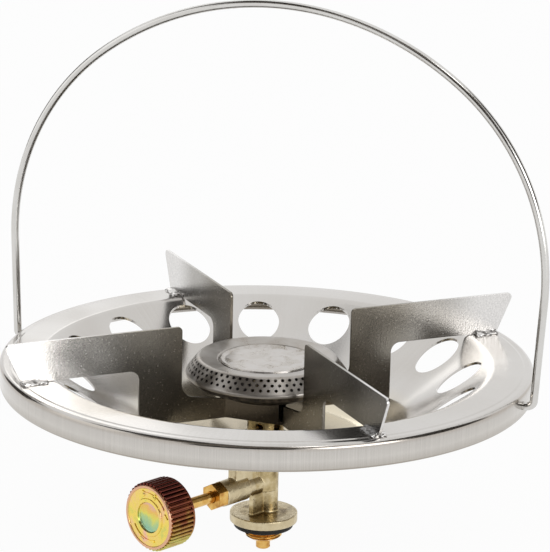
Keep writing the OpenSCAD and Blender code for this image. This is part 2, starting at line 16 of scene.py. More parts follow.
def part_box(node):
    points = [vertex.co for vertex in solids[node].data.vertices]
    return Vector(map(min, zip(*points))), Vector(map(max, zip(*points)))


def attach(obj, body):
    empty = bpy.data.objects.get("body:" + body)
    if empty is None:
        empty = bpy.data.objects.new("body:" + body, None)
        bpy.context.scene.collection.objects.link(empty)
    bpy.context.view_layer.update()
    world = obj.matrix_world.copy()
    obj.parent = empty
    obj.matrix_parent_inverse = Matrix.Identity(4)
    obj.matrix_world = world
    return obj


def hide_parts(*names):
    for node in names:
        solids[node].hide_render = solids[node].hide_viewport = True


MM = 0.001
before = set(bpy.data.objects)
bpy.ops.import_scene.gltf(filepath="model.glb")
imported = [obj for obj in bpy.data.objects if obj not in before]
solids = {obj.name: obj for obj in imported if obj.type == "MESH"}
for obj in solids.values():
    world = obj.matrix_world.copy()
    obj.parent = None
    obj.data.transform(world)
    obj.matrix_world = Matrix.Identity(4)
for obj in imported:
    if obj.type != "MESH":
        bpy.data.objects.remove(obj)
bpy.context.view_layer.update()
print("solids loaded:", len(solids))

# %% [markdown]
# ## Starting a piece
#
# Operators act on whatever is selected, and after loading, that is every solid. So each piece
# starts from an empty selection. These functions say once what a hand does each time.

# %% Helpers for selecting
def clear_selection():
    """Leave edit mode with nothing selected."""
    if bpy.context.object and bpy.context.object.mode == "EDIT":
        bpy.ops.object.mode_set(mode="OBJECT")
    bpy.ops.object.select_all(action="DESELECT")


def pick(piece):
    """Make one piece the selected and active one."""
    clear_selection()
    piece.select_set(True)
    bpy.context.view_layer.objects.active = piece


def edit_all(piece):
    """Open a piece in edit mode with all of it selected."""
    pick(piece)
    bpy.ops.object.mode_set(mode="EDIT")
    bpy.ops.mesh.select_all(action="SELECT")


def apply_modifier(piece, kind, **settings):
    """Add a modifier, set it up and apply it."""
    pick(piece)
    modifier = piece.modifiers.new(kind.title(), kind)
    for setting, value in settings.items():
        setattr(modifier, setting, value)
    bpy.ops.object.modifier_apply(modifier=modifier.name)


def join_pieces(first, others):
    """Join other pieces into the first one."""
    pick(first)
    for other in others:
        other.select_set(True)
    bpy.ops.object.join()


print("helpers for selecting are ready")

# %% [markdown]
# Most of this stove is sheet metal pressed to a round form. Cylinders could be scaled ring by
# ring, but a lathe suits it better: a line of vertices is drawn as by hand, one extruded from the
# last, and spun round the burner's axis. Corners of the line are rounded first, because a press
# leaves no sharp bend and a rounded one catches the light.

# %% Helpers for lines
def rounded(path, radii, turn_step=7.5):
    """Replace each inner corner of an open path by an arc of its own radius."""
    points = [Vector(path[0])]
    for before, corner, after, radius in zip(path, path[1:], path[2:], radii):
        before, corner, after = Vector(before), Vector(corner), Vector(after)
        into, out = (corner - before).normalized(), (after - corner).normalized()
        turn = math.atan2(into.x * out.y - into.y * out.x, into.dot(out))
        side = math.copysign(1, turn)
        centre = corner - into * radius * math.tan(abs(turn) / 2)
        centre += Vector((-into.y, into.x)) * radius * side
        steps = max(1, math.ceil(abs(math.degrees(turn)) / turn_step))
        arm = Vector((into.y, -into.x)) * radius * side
        for k in range(steps + 1):
            a = turn * k / steps
            points.append(centre + Vector((arm.x * math.cos(a) - arm.y * math.sin(a),
                                           arm.x * math.sin(a) + arm.y * math.cos(a))))
    return points + [Vector(path[-1])]


def closer(points, longest):
    """Put extra points on the long straight runs of a line."""
    out = [points[0]]
    for here, there in zip(points, points[1:]):
        parts = max(1, math.ceil((there - here).length / longest))
        out += [here.lerp(there, k / parts) for k in range(1, parts + 1)]
    return out


def chain(name, points):
    """A line of vertices through points in millimetres, each extruded from the last."""
    clear_selection()
    bpy.ops.mesh.primitive_plane_add(size=MM)
    piece = bpy.context.object
    piece.name = piece.data.name = name
    bpy.ops.object.mode_set(mode="EDIT")
    bpy.ops.mesh.select_all(action="SELECT")
    bpy.ops.mesh.merge(type="CENTER")
    bpy.ops.transform.translate(value=Vector(points[0]) * MM)
    for here, there in zip(points, points[1:]):
        step = (Vector(there) - Vector(here)) * MM
        bpy.ops.mesh.extrude_vertices_move(TRANSFORM_OT_translate={"value": step})
    bpy.ops.object.mode_set(mode="OBJECT")
    return piece


print("helpers for lines are ready")

# %% Helpers for lathe work
SAME_PLACE = 0.001 * MM
ROUND_Z = {"center": (0, 0, 0), "axis": (0, 0, 1)}


def close_shell(fill=False):
    """Merge the doubles of the open piece, turn its faces outwards and leave edit mode."""
    bpy.ops.mesh.select_all(action="SELECT")
    bpy.ops.mesh.remove_doubles(threshold=SAME_PLACE)
    if fill:
        bpy.ops.mesh.fill_holes(sides=0)
    bpy.ops.mesh.normals_make_consistent(inside=False)
    bpy.ops.object.mode_set(mode="OBJECT")


def lathe(name, outline, steps):
    """Spin an outline of (radius, height) points in millimetres once round the Z axis."""
    piece = chain(name, [(r, 0, z) for r, z in outline])
    edit_all(piece)
    bpy.ops.mesh.spin(steps=steps, angle=math.tau, **ROUND_Z)
    close_shell()
    return piece


def press(name, line, bends, longest, steps, thick):
    """A round sheet, from its middle line, the radius of each bend and its thickness."""
    piece = lathe(name, closer(rounded(line, bends), longest), steps)
    apply_modifier(piece, "SOLIDIFY", thickness=thick * MM, offset=0)
    return piece


def repeat_round(piece, count):
    """Copy a piece round the Z axis inside its own mesh, until there are count of it."""
    edit_all(piece)
    bpy.ops.mesh.spin(steps=count - 1, dupli=True, angle=math.tau * (count - 1) / count, **ROUND_Z)
    bpy.ops.object.mode_set(mode="OBJECT")


def round_place(radius, angle, height):
    """A place at a distance from the Z axis, in a direction round it."""
    return Vector((radius * math.cos(angle), radius * math.sin(angle), height))


print("helpers for lathe work are ready")

# %% [markdown]
# Holes are cut with tools, and a tool is a plain cylinder or block. Some pieces already have their
# whole form in the CAD solid. They could be drawn again, but a copy is exact: its loose triangles
# are merged, its flat faces dissolved, and its edges bevelled, because real metal has no edge
# without a radius.

# %% Helpers for tools and cuts
def settle(piece):
    """Write a piece's place, turn and size into its mesh."""
    pick(piece)
    bpy.ops.object.transform_apply(location=True, rotation=True, scale=True)


def put_on(piece, place):
    """Move a piece by a matrix and write its new place into its mesh."""
    piece.matrix_world = place
    settle(piece)


def add_cylinder(sides, radius, depth, place, turn=(0, 0, 0)):
    """A cylinder in millimetres."""
    clear_selection()
    bpy.ops.mesh.primitive_cylinder_add(vertices=sides, radius=radius * MM, depth=depth * MM,
                                        location=Vector(place) * MM, rotation=turn)
    settle(bpy.context.object)
    return bpy.context.object


def add_block(size, place, turn=0.0):
    """A block in millimetres, turned about its own upright axis."""
    clear_selection()
    bpy.ops.mesh.primitive_cube_add(size=1, location=Vector(place) * MM, rotation=(0, 0, turn),
                                    scale=Vector(size) * MM)
    settle(bpy.context.object)
    return bpy.context.object


def cut_away(piece, cutters):
    """Subtract joined cutters from a piece, and delete them."""
    join_pieces(cutters[0], cutters[1:])
    apply_modifier(piece, "BOOLEAN", operation="DIFFERENCE", solver="EXACT", object=cutters[0])
    bpy.data.objects.remove(cutters[0])


print("helpers for tools are ready")

# %% Helpers for copies and the last steps
def copy_solid(node, name):
    """A merged copy of a CAD solid, to bevel or to cut while the solid itself stays as it is."""
    piece = bpy.data.objects.new(name, solids[node].data.copy())
    bpy.context.collection.objects.link(piece)
    piece.data.materials.clear()
    edit_all(piece)
    bpy.ops.mesh.customdata_custom_splitnormals_clear()
    bpy.ops.mesh.remove_doubles(threshold=SAME_PLACE)
    bpy.ops.mesh.dissolve_limited(angle_limit=math.radians(0.5))
    bpy.ops.object.mode_set(mode="OBJECT")
    return piece


def soften_edges(piece, width, segments=2, sharper_than=35):
    """Round every edge that is sharper than an angle."""
    apply_modifier(piece, "BEVEL", width=width * MM, segments=segments, limit_method="ANGLE",
                   angle_limit=math.radians(sharper_than), use_clamp_overlap=True)


def finish_piece(piece, body, finish, slot, *stands_for, smooth=35, weighted=True):
    """Smooth a piece, give it its finish, let it ride on a body and stand for its solids."""
    pick(piece)
    bpy.ops.object.shade_smooth_by_angle(angle=math.radians(smooth))
    if weighted:
        apply_modifier(piece, "WEIGHTED_NORMAL", keep_sharp=True)
    piece.data.materials.clear()
    piece.data.materials.append(finish)
    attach(piece, body)
    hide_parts(*stands_for)
    print(piece.name, "has", len(piece.data.polygons), "faces")


def bevel_solid(node, name, width, body, finish, slot, segments=2):
    """Finish a bevelled copy of a solid, which then stands for it."""
    piece = copy_solid(node, name)
    soften_edges(piece, width, segments)
    finish_piece(piece, body, finish, slot, node)


print("helpers for finishing are ready")

# %% [markdown]
# ## Finishes
#
# Metal shows little colour of its own. What tells one metal from another is how rough it is and
# in which direction its marks run, so each finish starts from a Principled shader with constant
# values on its sockets, and nodes then vary the roughness, the colour and the bump. Pictures of
# metal could do it too, but nodes need no file and no unwrapping. All of them read Object
# coordinates, which are metres here, so a mark has the same size on every piece.

# %% Helpers for nodes
def new_finish(name, colour, metallic, roughness, **sockets):
    """A material whose Principled shader has these constant values."""
    finish = bpy.data.materials.new(name)
    finish.use_nodes = True
    shader = finish.node_tree.nodes["Principled BSDF"]
    shader.inputs["Base Color"].default_value = (*colour, 1)
    shader.inputs["Metallic"].default_value = metallic
    shader.inputs["Roughness"].default_value = roughness
    for socket, value in sockets.items():
        shader.inputs[socket.replace("_", " ")].default_value = value
    return finish


def add_node(owner, kind, inputs=(), **settings):
    """Add a node, and fill its sockets with values or with links from other nodes' outputs."""
    node = owner.node_tree.nodes.new("ShaderNode" + kind)
    for setting, value in settings.items():
        setattr(node, setting, value)
    for socket, value in dict(inputs).items():
        if isinstance(value, bpy.types.NodeSocket):
            owner.node_tree.links.new(value, node.inputs[socket])
        else:
            node.inputs[socket].default_value = value
    return node


def reckon(owner, operation, first, second):
    """Reckon with two values, as a Math node does."""
    return add_node(owner, "Math", {0: first, 1: second}, operation=operation).outputs[0]


print("helpers for nodes are ready")

# %% Helpers for coordinates
def object_coords(finish):
    """The place on the object, in metres."""
    return add_node(finish, "TexCoord").outputs["Object"]


def split(finish, vector):
    """The X, Y and Z of a vector."""
    return add_node(finish, "SeparateXYZ", {"Vector": vector}).outputs


def facing(finish):
    """The X, Y and Z of the direction that the surface faces."""
    return split(finish, add_node(finish, "TexCoord").outputs["Normal"])


def radius_of(finish, coords):
    """Distance from the Z axis of some coordinates, in metres."""
    parts = split(finish, coords)
    flat = add_node(finish, "CombineXYZ", {"X": parts["X"], "Y": parts["Y"]}).outputs["Vector"]
    return add_node(finish, "VectorMath", {0: flat}, operation="LENGTH").outputs["Value"]


def straight_coords(finish, stretch=(1, 1, 1), turn=(0, 0, 0)):
    """Object coordinates, stretched and turned by a Mapping node."""
    sockets = {"Vector": object_coords(finish), "Scale": stretch, "Rotation": turn}
    return add_node(finish, "Mapping", sockets).outputs["Vector"]


def turned_coords(finish, around, across):
    """Coordinates that run round the Z axis: the angle, the radius and the height."""
    place = object_coords(finish)
    parts = split(finish, place)
    angle = reckon(finish, "ARCTAN2", parts["Y"], parts["X"])
    sockets = {"X": angle, "Y": radius_of(finish, place), "Z": parts["Z"]}
    whole = add_node(finish, "CombineXYZ", sockets).outputs["Vector"]
    sockets = {"Vector": whole, "Scale": (around, across, across)}
    return add_node(finish, "Mapping", sockets).outputs["Vector"]


print("helpers for coordinates are ready")

# %% Helpers for patterns
def grain(finish, scale, detail, roughness, distortion=0.0, coords=None):
    """Noise from 0 to 1, on straight coordinates or on others."""
    sockets = {"Vector": coords or straight_coords(finish), "Scale": scale, "Detail": detail,
               "Roughness": roughness, "Distortion": distortion}
    return add_node(finish, "TexNoise", sockets).outputs["Fac"]


def spread(finish, value, low, high, out_low=0, out_high=1):
    """Map a value from one span to another and clamp it."""
    sockets = {"Value": value, "From Min": low, "From Max": high, "To Min": out_low,
               "To Max": out_high}
    return add_node(finish, "MapRange", sockets).outputs["Result"]


def ramp(finish, value, *stops):
    """A colour ramp with stops of (place, colour)."""
    node = add_node(finish, "ValToRGB", {"Fac": value})
    elements = node.color_ramp.elements
    while len(elements) < len(stops):
        elements.new(0.5)
    for element, (place, colour) in zip(elements, stops):
        element.position = place
        element.color = (*colour, 1)
    return node.outputs["Color"]


def blend_colours(finish, share, first, second):
    """Mix two colours by a share from 0 to 1."""
    pair = [c if isinstance(c, bpy.types.NodeSocket) else (*c, 1) for c in (first, second)]
    # A Mix node has sockets for every kind of value: 6, 7 and output 2 are the ones for colours.
    sockets = {"Factor": share, 6: pair[0], 7: pair[1]}
    return add_node(finish, "Mix", sockets, data_type="RGBA").outputs[2]


def shade(finish, colour, factor):
    """Make a colour darker or lighter by a factor."""
    return add_node(finish, "VectorMath", {0: colour, 1: factor}, operation="MULTIPLY").outputs[0]


def dress(finish, colour, roughness, *bumps):
    """Link a colour, a roughness, and bumps of (height from 0 to 1, its size in millimetres)."""
    shader, bump = finish.node_tree.nodes["Principled BSDF"], {}
    for height, size in bumps:
        bump |= {"Height": height, "Distance": size * MM}
        bump["Normal"] = add_node(finish, "Bump", bump).outputs["Normal"]
    links = {"Base Color": colour, "Roughness": roughness, "Normal": bump["Normal"]}
    for socket, output in links.items():
        finish.node_tree.links.new(output, shader.inputs[socket])


print("helpers for patterns are ready")

# %% [markdown]
# The dish is bright stainless sheet, almost a mirror. Pressing drew the sheet outwards, so very
# fine streaks run across the rim, and the gloss changes slowly from place to place. The streaks
# follow the turned coordinates, and both stay weak: too much of them would make the sheet look
# brushed. The floor under the burner is straw coloured from its heat.

# %% Finish of the dish
dish_steel = new_finish("dish_steel", (0.615, 0.595, 0.58), 1, 0.17)
streaks = grain(dish_steel, 1.0, 4, 0.65, coords=turned_coords(dish_steel, 150, 12))
blotches = grain(dish_steel, 30, 1, 0.5, 0.2)
specks = grain(dish_steel, 1500, 2, 0.5)
sheen = reckon(dish_steel, "ADD", blotches, spread(dish_steel, streaks, 0, 1, -0.2, 0.2))
cold = ramp(dish_steel, sheen, (0.2, (0.54, 0.515, 0.485)), (0.5, (0.59, 0.57, 0.545)),
            (0.8, (0.63, 0.615, 0.60)))
straw, straw_r, cold_r = (0.74, 0.67, 0.52), 42, 62
from_burner = radius_of(dish_steel, straight_coords(dish_steel))
is_cold = spread(dish_steel, from_burner, straw_r * MM, cold_r * MM)
warmed = blend_colours(dish_steel, is_cold, straw, cold)
print("straw coloured inside", straw_r, "mm")

# %% [markdown]
# The skirt was drawn the most. It has bands of lighter and darker steel one above the other,
# which are painted reflections of the studio, fine fibres that run down it, and a dark line at the
# hem, which is a painted shadow. It is the same sheet, so it isn't a finish of its own: the colour
# changes where the radius reaches the skirt, and the height makes the bands. Faces that look down
# are painted darker, a painted shade.

# %% Skirt and underside in the dish's finish
skirt_starts, skirt_full, skirt_low, skirt_high = 109.3, 109.8, 62.5, 73
on_skirt = spread(dish_steel, from_burner, skirt_starts * MM, skirt_full * MM)
height = split(dish_steel, straight_coords(dish_steel))["Z"]
rise = spread(dish_steel, height, skirt_low * MM, skirt_high * MM)
wavy = reckon(dish_steel, "ADD", rise, spread(dish_steel, streaks, 0, 1, -0.04, 0.04))
# The bands by height are painted reflections, and the darkest stop at the hem is a painted shadow.
painted_skirt_bands = ramp(dish_steel, wavy, (0.05, (0.15, 0.13, 0.105)), (0.12, (0.49, 0.46, 0.42)),
            (0.45, (0.60, 0.575, 0.54)), (0.8, (0.55, 0.525, 0.495)), (0.97, (0.44, 0.40, 0.355)))
fibres = grain(dish_steel, 1.0, 3, 0.6, coords=turned_coords(dish_steel, 420, 30))
fibred = shade(dish_steel, painted_skirt_bands, spread(dish_steel, fibres, 0.25, 0.75, 0.9, 1.08))
above = blend_colours(dish_steel, on_skirt, warmed, fibred)
# Faces that look down are painted darker: a painted shade.
painted_underside_shade = (0.34, 0.305, 0.255)
looks_down = spread(dish_steel, facing(dish_steel)["Z"], -0.25, -0.6)
dress(dish_steel, blend_colours(dish_steel, looks_down, above, painted_underside_shade),
      spread(dish_steel, sheen, 0, 1, 0.1, 0.24),
      (streaks, 0.002), (specks, 0.002), (blotches, 0.06))
print("finish:", dish_steel.name)

# %% [markdown]
# The pan support is thicker sheet with a dull, grainy roll finish. The photo shows that grain as
# fine speckles, so one fine noise moves the colour, the roughness and the bump together. Flames
# have tinted the sheet brown near the burner, and the hub under the burner head is painted near
# black, a painted shade, so its colour also follows the distance from the burner's axis. The front
# right blade is painted darker on its left side, a painted shade. Each piece has one finish, so
# place and direction say where that painted shade lies.

# %% Finish of the pan support
blade_steel = new_finish("blade_steel", (0.54, 0.525, 0.50), 1, 0.27)
place, along_z = straight_coords(blade_steel), straight_coords(blade_steel, (1, 1, 0.03))
brushing = grain(blade_steel, 1500, 2, 0.6, coords=along_z)
speckle = grain(blade_steel, 1400, 1, 0.6, coords=place)
shaded_hub_r, clean_r = 15, 115
heat_and_shade = spread(blade_steel, radius_of(blade_steel, place), shaded_hub_r * MM, clean_r * MM)
# Near black at the hub is painted shade under the burner head; further out it is heat tint.
tint_and_shade = ramp(blade_steel, heat_and_shade, (0.03, (0.11, 0.094, 0.076)), (0.14, (0.16, 0.14, 0.11)),
            (0.4, (0.27, 0.25, 0.215)), (0.62, (0.41, 0.395, 0.37)), (0.85, (0.72, 0.705, 0.69)))
tint_and_shade.node.color_ramp.interpolation = "EASE"

parts, looks = split(blade_steel, place), facing(blade_steel)
# The front right blade's left side is painted darker: a painted shade.
painted_shade_starts, painted_shade_full, painted_shade_depth = 60, 120, 0.3
to_front_right = reckon(blade_steel, "SUBTRACT", parts["X"], parts["Y"])
on_blade = spread(blade_steel, to_front_right, painted_shade_starts * MM, painted_shade_full * MM)
looks_left = spread(blade_steel, reckon(blade_steel, "ADD", looks["X"], looks["Y"]), 0, -0.6)
painted_shade = reckon(blade_steel, "MULTIPLY", on_blade, looks_left)
grained = reckon(blade_steel, "MULTIPLY", spread(blade_steel, painted_shade, 0, 1, 1, painted_shade_depth),
                 spread(blade_steel, speckle, 0.2, 0.8, 0.87, 1.13))
dress(blade_steel, shade(blade_steel, tint_and_shade, grained), spread(blade_steel, speckle, 0, 1, 0.2, 0.3),
      (speckle, 0.04), (brushing, 0.02))
print("finish:", blade_steel.name)

# %% [markdown]
# The burner head has felt fire. Its steel is warmer and duller, with turned marks, the cup under it
# is painted near black, a painted shade under the head, and its top disc has scratches and darker
# spots. Three finishes are simpler to read than one that tells the three pieces apart.

# %% Finishes of the burner head
# The cup's near black colour is painted shade under the burner head.
painted_shade_cup = new_finish("painted_shade_cup", (0.05, 0.042, 0.035), 0.6, 0.5)
flakes = grain(painted_shade_cup, 420, 4, 0.6)
flaked = ramp(painted_shade_cup, flakes, (0.35, (0.03, 0.026, 0.022)), (0.7, (0.13, 0.105, 0.08)))
dress(painted_shade_cup, flaked, spread(painted_shade_cup, flakes, 0.3, 0.7, 0.62, 0.4), (flakes, 0.05))

burner_steel = new_finish("burner_steel", (0.45, 0.41, 0.36), 1, 0.28)
rings = grain(burner_steel, 1.0, 3, 0.6, coords=turned_coords(burner_steel, 1.5, 1500))
haze = grain(burner_steel, 90, 4, 0.6, 0.4)
hazed = ramp(burner_steel, haze, (0.25, (0.27, 0.235, 0.20)), (0.5, (0.37, 0.345, 0.315)),
             (0.8, (0.47, 0.45, 0.43)))
dress(burner_steel, hazed, spread(burner_steel, haze, 0.3, 0.7, 0.24, 0.4),
      (rings, 0.015), (haze, 0.06))

disc_steel = new_finish("disc_steel", (0.52, 0.49, 0.45), 1, 0.3)
slanted = straight_coords(disc_steel, (1, 0.06, 1), (0, 0, 0.6))
scratches = grain(disc_steel, 1600, 3, 0.6, coords=slanted)
stains = grain(disc_steel, 210, 5, 0.62, 0.8)
spotted = ramp(disc_steel, stains, (0.28, (0.16, 0.13, 0.10)), (0.36, (0.40, 0.37, 0.33)),
               (0.55, (0.53, 0.505, 0.48)), (0.8, (0.60, 0.585, 0.57)))
dress(disc_steel, spotted, spread(disc_steel, stains, 0.35, 0.7, 0.24, 0.44),
      (scratches, 0.012), (stains, 0.05))
print("finishes:", painted_shade_cup.name, burner_steel.name, disc_steel.name)

# %% [markdown]
# The handle is drawn wire. Drawing through a die leaves long fine lines, so a noise is stretched
# along the handle's height. The wire is polished enough to show the studio as bright and dark
# stripes, so the lines stay faint.

# %% Finish of the handle
wire_steel = new_finish("wire_steel", (0.66, 0.65, 0.63), 1, 0.16)
die_lines = grain(wire_steel, 1300, 3, 0.6, coords=straight_coords(wire_steel, (1, 1, 0.05)))
dull = grain(wire_steel, 60, 3, 0.5)
dulled = ramp(wire_steel, dull, (0.3, (0.60, 0.585, 0.56)), (0.7, (0.70, 0.69, 0.67)))
dress(wire_steel, dulled, spread(wire_steel, dull, 0.3, 0.7, 0.1, 0.22), (die_lines, 0.01))
print("finish:", wire_steel.name)

# %% [markdown]
# The valve is cast brass with a thin, dull nickel plate. A casting is never smooth: small lumps
# and pits from the sand show through the plate, which is browner in places. The foot flange and
# the arm, which lie further from the burner's axis than the column, were machined and are more
# even. The turned pieces are bare brass with a little tarnish.

# %% Finishes of the brass pieces
plated_brass = new_finish("plated_brass", (0.36, 0.27, 0.13), 1, 0.3)
lumps = grain(plated_brass, 650, 4, 0.6, 0.2)
pits = grain(plated_brass, 1900, 3, 0.6)
tone = grain(plated_brass, 160, 3, 0.55)
cast = ramp(plated_brass, tone, (0.33, (0.20, 0.14, 0.06)), (0.5, (0.47, 0.37, 0.195)),
            (0.7, (0.68, 0.58, 0.38)))
machined, machined_share, cast_r, machined_r = (0.66, 0.57, 0.39), 0.6, 9.5, 10.5
from_column = radius_of(plated_brass, straight_coords(plated_brass))
further_out = spread(plated_brass, from_column, cast_r * MM, machined_r * MM, 0, machined_share)
dress(plated_brass, blend_colours(plated_brass, further_out, cast, machined),
      spread(plated_brass, lumps, 0, 1, 0.48, 0.14), (lumps, 0.16), (pits, 0.04))

bare_brass = new_finish("bare_brass", (0.68, 0.40, 0.11), 1, 0.2)
cuts = grain(bare_brass, 2200, 3, 0.6)
tarnish = grain(bare_brass, 260, 4, 0.6)
tarnished = ramp(bare_brass, tarnish, (0.28, (0.42, 0.19, 0.045)), (0.5, (0.68, 0.40, 0.11)),
                 (0.75, (0.82, 0.58, 0.22)))
dress(bare_brass, tarnished, spread(bare_brass, tarnish, 0, 1, 0.32, 0.08), (cuts, 0.012))
print("finishes:", plated_brass.name, bare_brass.name)

# %% [markdown]
# The knob wears a yellow chromate coat. The film's thickness changes from place to place, so its
# colour runs from gold to pink and green, and on the grip from maroon to olive. Both finishes lie
# along the valve's arm: a Mapping node of the Texture type undoes the arm's place and turn, so that
# the arm becomes the Z axis and the height above it is minus X.

# %% Helpers for the knob's finishes
arm_z, arm_turn = 20, math.radians(-113.5)
arm_foot = Matrix.Translation((0, 0, arm_z * MM))
on_arm = arm_foot @ Matrix.Rotation(arm_turn, 4, "Z") @ Matrix.Rotation(math.pi / 2, 4, "Y")


def arm_coords(finish):
    """Object coordinates with the valve's arm as their Z axis."""
    sockets = {"Vector": object_coords(finish), "Location": on_arm.to_translation(),
               "Rotation": on_arm.to_euler()}
    return add_node(finish, "Mapping", sockets, vector_type="TEXTURE").outputs["Vector"]


def film_colours(finish, half_height, *stops):
    """A colour ramp from the lower to the upper edge of the knob, blurred by noise."""
    coords = arm_coords(finish)
    rise = spread(finish, split(finish, coords)["X"], half_height * MM, -half_height * MM)
    cloud = spread(finish, grain(finish, 170, 3, 0.6, 0.5, coords), 0.3, 0.7, -0.16, 0.16)
    return ramp(finish, reckon(finish, "ADD", rise, cloud), *stops)


def dress_with_dust(finish, colour):
    """Link a colour, and fine dust in the coat as roughness and bump."""
    dust = grain(finish, 1500, 3, 0.6)
    dress(finish, colour, spread(finish, dust, 0, 1, 0.08, 0.32), (dust, 0.015))


print("the arm lies", arm_z, "mm above the gasket's seat")

# %% Finishes of the knob
grip_r, recess_r, rim_in = 14, 6.3, 12.1
chromate_grip = new_finish("chromate_grip", (0.45, 0.25, 0.10), 1, 0.26)
maroon = film_colours(chromate_grip, grip_r, (0.1, (0.52, 0.47, 0.12)), (0.35, (0.44, 0.27, 0.07)),
                      (0.6, (0.27, 0.085, 0.04)), (0.9, (0.17, 0.045, 0.035)))
dress_with_dust(chromate_grip, maroon)

chromate_face = new_finish("chromate_face", (0.86, 0.66, 0.18), 1, 0.26)
recess = film_colours(chromate_face, recess_r, (0.08, (0.30, 0.52, 0.36)),
                      (0.34, (0.44, 0.60, 0.28)), (0.54, (0.74, 0.68, 0.14)),
                      (0.76, (0.82, 0.50, 0.14)), (0.95, (0.74, 0.46, 0.40)))
clouds = grain(chromate_face, 120, 3, 0.6, 0.6)
ring = ramp(chromate_face, clouds, (0.36, (0.62, 0.62, 0.16)), (0.48, (0.88, 0.68, 0.14)),
            (0.58, (0.88, 0.64, 0.20)), (0.7, (0.86, 0.50, 0.36)))
from_arm, copper = radius_of(chromate_face, arm_coords(chromate_face)), (0.72, 0.42, 0.27)
past_recess = spread(chromate_face, from_arm, (recess_r - 0.2) * MM, (recess_r + 0.2) * MM)
past_ring = spread(chromate_face, from_arm, (rim_in - 0.3) * MM, (rim_in + 0.3) * MM)
inner = blend_colours(chromate_face, past_recess, recess, ring)
dress_with_dust(chromate_face, blend_colours(chromate_face, past_ring, inner, copper))
print("finishes:", chromate_grip.name, chromate_face.name)

# %% [markdown]
# The gasket is black rubber with a moulded skin. A plain black would look like a hole, so a faint
# bloom of paler dust lies on it.

# %% Finish of the rubber
black_rubber = new_finish("black_rubber", (0.018, 0.017, 0.016), 0, 0.55, Specular_IOR_Level=0.2)
bloom = grain(black_rubber, 500, 4, 0.6)
bloomed = ramp(black_rubber, bloom, (0.35, (0.012, 0.011, 0.010)), (0.75, (0.04, 0.038, 0.035)))
dress(black_rubber, bloomed, spread(black_rubber, bloom, 0.3, 0.7, 0.45, 0.65), (bloom, 0.03))
print("finish:", black_rubber.name)

# %% [markdown]
# ## The dish
#
# The dish is one round sheet with a flat floor, a sloping wall, a level rim and a skirt with its
# hem turned in. A thick outline could be spun, but then every bend would have to be drawn twice.
# So the sheet's middle line goes on the lathe and a Solidify modifier gives it its thickness.
# Straight runs of the line get extra points, so that no face is long and thin.

# %% Press the dish
dish_low, dish_high = (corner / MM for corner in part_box("dish"))
dish_r, rim_z, sheet = dish_high.x, dish_high.z, 0.9
floor_mid, rim_mid, skirt_mid = dish_low.z + sheet / 2, rim_z - sheet / 2, dish_r - sheet / 2
neck_hole_r, floor_r, wall_slope, skirt_h, hem_w = 6.3, 42.85, math.radians(34.5), 11.2, 3
shoulder_at = floor_r + (rim_mid - floor_mid) / math.tan(wall_slope)
crease_at, crease_w, crease_drop = 105.4, 0.8, 0.25
lip_mid, hem_mid = rim_mid - crease_drop, rim_z - skirt_h + sheet / 2
dish_line = [(neck_hole_r, floor_mid), (floor_r, floor_mid), (shoulder_at, rim_mid),
             (crease_at, rim_mid), (crease_at + crease_w, lip_mid), (skirt_mid, lip_mid),
             (skirt_mid, hem_mid), (dish_r - hem_w, hem_mid)]
dish_bends = [14, 6, 0.6, 0.6, 1.6, 1.2]
dish = press("pressed_dish", dish_line, dish_bends, longest=6, steps=288, thick=sheet)
print("dish sheet:", len(dish.data.polygons), "faces")

# %% [markdown]
# The air holes, the slots for the pan support and the holes for the handle's feet were punched
# after the pressing. They could be drawn into the mesh, but a cut is simpler and works on a slope
# too: all the punches are joined and cut away in one go.

# %% Punch the dish
hole_count, hole_r, hole_ring_r, hole_mid, first_hole = 16, 9, 80, 60, math.radians(1.5)
blade_count, first_blade, tab_at, tab_slot = 4, math.radians(45), 101.4, (6.6, 1.8, 5)
pivot_z, foot_hole_r, punch_len, foot_punch_len = rim_z - 5.6, 1.78, 40, 10
punches = []
for k in range(hole_count):
    hole_at = round_place(hole_ring_r, first_hole + math.tau * k / hole_count, hole_mid)
    punches.append(add_cylinder(72, hole_r, punch_len, hole_at))
for k in range(blade_count):
    a = first_blade + math.tau * k / blade_count
    punches.append(add_block(tab_slot, round_place(tab_at, a, rim_z), a))
for side in (-1, 1):
    foot_hole = (side * dish_r, 0, pivot_z)
    punches.append(add_cylinder(48, foot_hole_r, foot_punch_len, foot_hole, (0, math.pi / 2, 0)))
cut_away(dish, punches)
soften_edges(dish, 0.14, sharper_than=40)
finish_piece(dish, "stove", dish_steel, "dish_steel", "dish")

# %% [markdown]
# ## The pan support
#
# One sheet is folded like a pinwheel: a square hub whose four walls turn out at a corner into
# blades. The solid already has that form, so a merged copy of it is enough. A small bevel on
# every cut edge gives the pale lines that the photo shows along the blades' tops.

# %% Bevel the pan support
bevel_solid("pan_support", "folded_pan_support", 0.22, "stove", blade_steel, "blade_steel")

# %% [markdown]
# Each blade is locked into the rim by a tab whose metal was crushed round the slot. A crushed tab
# has no exact shape, so it isn't worth drawing: a flat block is cut into small faces and a noise
# pushes its points about, which gives the bright and dark wrinkles of the photo. It is flatter at
# its sides, and it is made once and copied.

